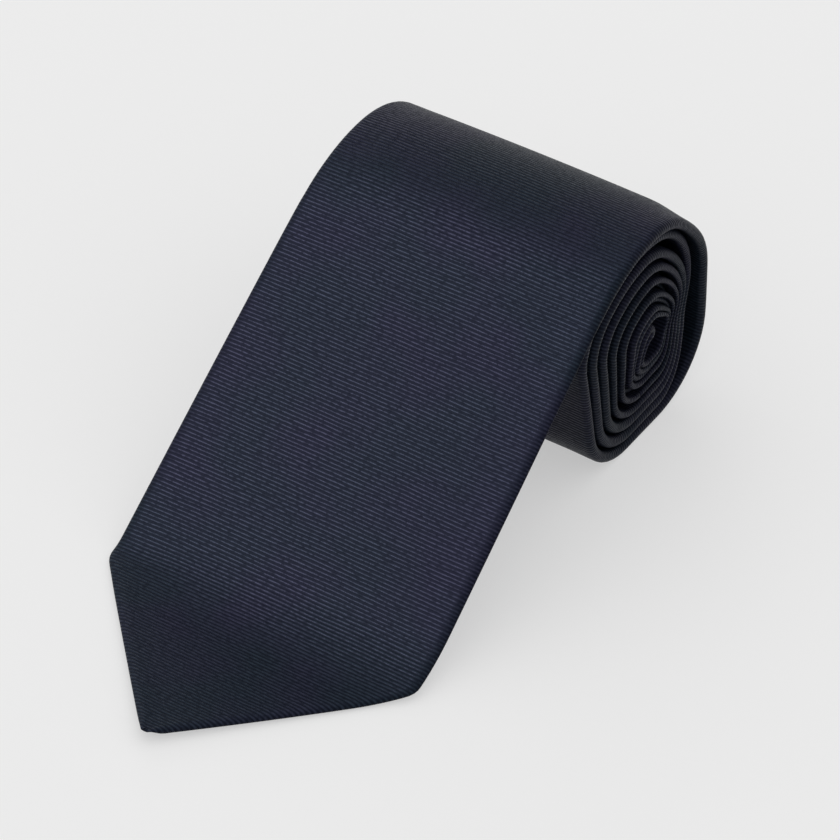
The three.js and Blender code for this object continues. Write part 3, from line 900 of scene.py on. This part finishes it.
def makeSatin():
    material, tree, shader = nodeTree("navySatinLining")
    u, v = clothCoordinates(tree)
    warp = addNoise(tree, stretched(tree, u, v, 5200, 420), 1.0, 2.0)
    cloud = addNoise(tree, stretched(tree, u, v, 60, 60), 1.0, 2.0)
    base = addMix(tree, addRange(tree, cloud, 0.4, 0.6), (0.020, 0.026, 0.055), (0.026, 0.031, 0.066))
    colour = addMix(tree, addRange(tree, warp, 0.3, 0.7), base, (0.040, 0.048, 0.095))
    tree.links.new(colour, shader.inputs["Base Color"])
    tree.links.new(addRange(tree, warp, 0.3, 0.7, 0.30, 0.42), shader.inputs["Roughness"])
    addBump(tree, shader, warp, 0.00002)
    shader.inputs["Specular IOR Level"].default_value = 0.5
    return material


def makeThread():
    material, tree, shader = nodeTree("navySilkThread")
    where = tree.nodes.new("ShaderNodeTexCoord").outputs["Object"]
    twist = addNoise(tree, where, 3600.0, 2.0)
    colour = addMix(tree, addRange(tree, twist, 0.35, 0.65), (0.028, 0.035, 0.075), (0.065, 0.075, 0.14))
    tree.links.new(colour, shader.inputs["Base Color"])
    addBump(tree, shader, twist, 0.00004)
    shader.inputs["Roughness"].default_value = 0.45
    return material


def makeLabelTape():
    material, tree, shader = nodeTree("plainLabelTape")
    uv = tree.nodes.new("ShaderNodeUVMap")
    uv.uv_map = "cloth"
    checker = tree.nodes.new("ShaderNodeTexChecker")
    checker.inputs["Scale"].default_value = 2600.0
    checker.inputs["Color1"].default_value = (0.62, 0.62, 0.63, 1)
    checker.inputs["Color2"].default_value = (0.50, 0.50, 0.52, 1)
    tree.links.new(uv.outputs[0], checker.inputs["Vector"])
    tree.links.new(checker.outputs["Color"], shader.inputs["Base Color"])
    addBump(tree, shader, checker.outputs["Fac"], 0.00003)
    shader.inputs["Roughness"].default_value = 0.8
    return material


navyTwill = makeNavyTwill()
woolInterlining = makeWool()
navyLining = makeSatin()
navyThread = makeThread()
labelTape = makeLabelTape()

bpy.ops.mesh.primitive_plane_add(size=4, location=(0, 0, -0.0002))
floor = bpy.context.object
floor.name = "paperFloor"
floor.data.materials.append(makeFloorPaper())
keyLeavesOut = bpy.data.collections.new("keyLeavesOut")  # the key light doesn't fall on the floor
keyLeavesOut.objects.link(floor)
keyLight.light_linking.receiver_collection = keyLeavesOut
keyLeavesOut.collection_objects[0].light_linking.link_state = "EXCLUDE"

print("hand over")
joint = frame["joints"][0]
hinge = np.array([float(v) for v in joint["pos_m"]])
bend = dict(across=np.array([0.0, 0.89, -0.454]), reach=0.004, heldFrom=9.0)  # the cloth bends over 8 mm


# Beyond the line where the blade leaves the roll, the cloth stays with the roll.
def heldInRoll(piece):
    uv = piece.data.uv_layers["cloth"].data
    weight = piece.data.attributes["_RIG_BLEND"].data
    for loop in piece.data.loops:
        if uv[loop.index].uv[1] > (rollBegins + bend["heldFrom"]) * mm:
            weight[loop.vertex_index].value = 1.0


def acrossHinge(piece):
    step = bend["reach"] * bend["across"]
    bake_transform(piece, "blade", "roll", start=tuple(hinge - step), end=tuple(hinge + step))
    heldInRoll(piece)


# Gives a piece its finish and its body, and hides the frame's solids that it stands for.
def handOver(piece, body, material, slotName, *nodes):
    piece.data.materials.clear()
    piece.data.materials.append(material)
    if body == "both":
        acrossHinge(piece)
    else:
        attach(piece, body)
    if nodes:
        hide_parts(*nodes)


handOver(bladeCloth, "both", navyTwill, "navy_twill", "blade_shell_front", "blade_shell_wound")
handOver(neckCloth, "roll", navyTwill, "navy_twill", "neck_shell")
handOver(tailCloth, "roll", navyTwill, "navy_twill", "tail_shell")
handOver(keeperLoop, "roll", navyTwill, "navy_twill", "keeper_loop")
handOver(bladeInterlining, "both", woolInterlining, "wool_interlining",
         "blade_interlining_front", "blade_interlining_wound")
handOver(tailInterlining, "roll", woolInterlining, "wool_interlining", "tail_interlining")
handOver(interliningLap, "roll", woolInterlining, "wool_interlining", "interlining_lap")
handOver(bladeTipping, "blade", navyLining, "navy_lining", "blade_tipping")
handOver(tailTipping, "roll", navyLining, "navy_lining", "tail_tipping")
handOver(bladeHemStitches, "blade", navyThread, "navy_thread", "blade_hem_stitch")
handOver(tailHemStitches, "roll", navyThread, "navy_thread", "tail_hem_stitch")
handOver(slipStitchFront, "blade", navyThread, "navy_thread", "slip_stitch_front")
handOver(slipStitchWound, "roll", navyThread, "navy_thread", "slip_stitch_wound")
handOver(bladeBarTack, "blade", navyThread, "navy_thread", "blade_bar_tack")
handOver(tailBarTack, "roll", navyThread, "navy_thread", "tail_bar_tack")
handOver(keeperTackLeft, "roll", navyThread, "navy_thread", "keeper_tack_left")
handOver(keeperTackRight, "roll", navyThread, "navy_thread", "keeper_tack_right")
handOver(bladeNeckSeam, "roll", navyThread, "navy_thread", "blade_neck_seam")
handOver(neckTailSeam, "roll", navyThread, "navy_thread", "neck_tail_seam")
handOver(blankLabel, "roll", labelTape, "label_cloth", "blank_label")
handOver(labelStitches, "roll", navyThread, "navy_thread")
